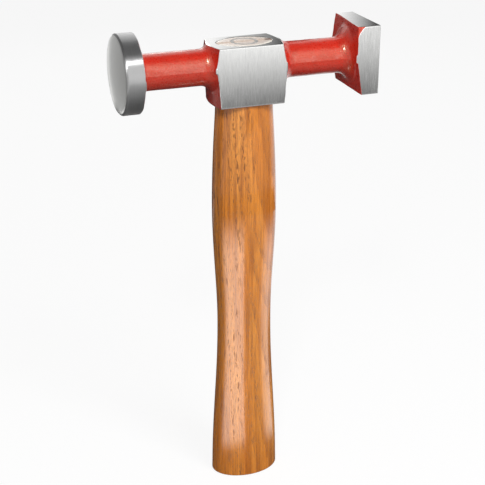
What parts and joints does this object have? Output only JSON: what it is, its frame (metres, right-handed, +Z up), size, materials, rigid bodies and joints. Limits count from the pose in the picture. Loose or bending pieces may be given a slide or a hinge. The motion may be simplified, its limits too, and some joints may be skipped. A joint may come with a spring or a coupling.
{
  "type": "planishing hammer",
  "caption": "Planishing hammer: a forged steel head with a crowned round face and a flat square face, wedged on an oval wooden handle.",
  "frame": {"origin": "centre of the handle's butt", "axes": "+Z up the handle to the head, +X along the head to the square face, -X to the round face"},
  "size_m": [0.1351, 0.04, 0.257],
  "materials": {
    "enamelled_steel": "gloss red enamel over the forged surface; the block's sides and top, the square plate's edges and both faces are bare ground steel",
    "lacquered_hickory": "clear gloss lacquer",
    "wedge_wood": "end grain, sawn flush",
    "wedge_steel": "ground flush"
  },
  "bodies": {
    "root": {"hammer_head": "enamelled_steel", "handle": "lacquered_hickory", "wooden_wedge": "wedge_wood", "ring_wedge": "wedge_steel"}
  },
  "joints": []
}
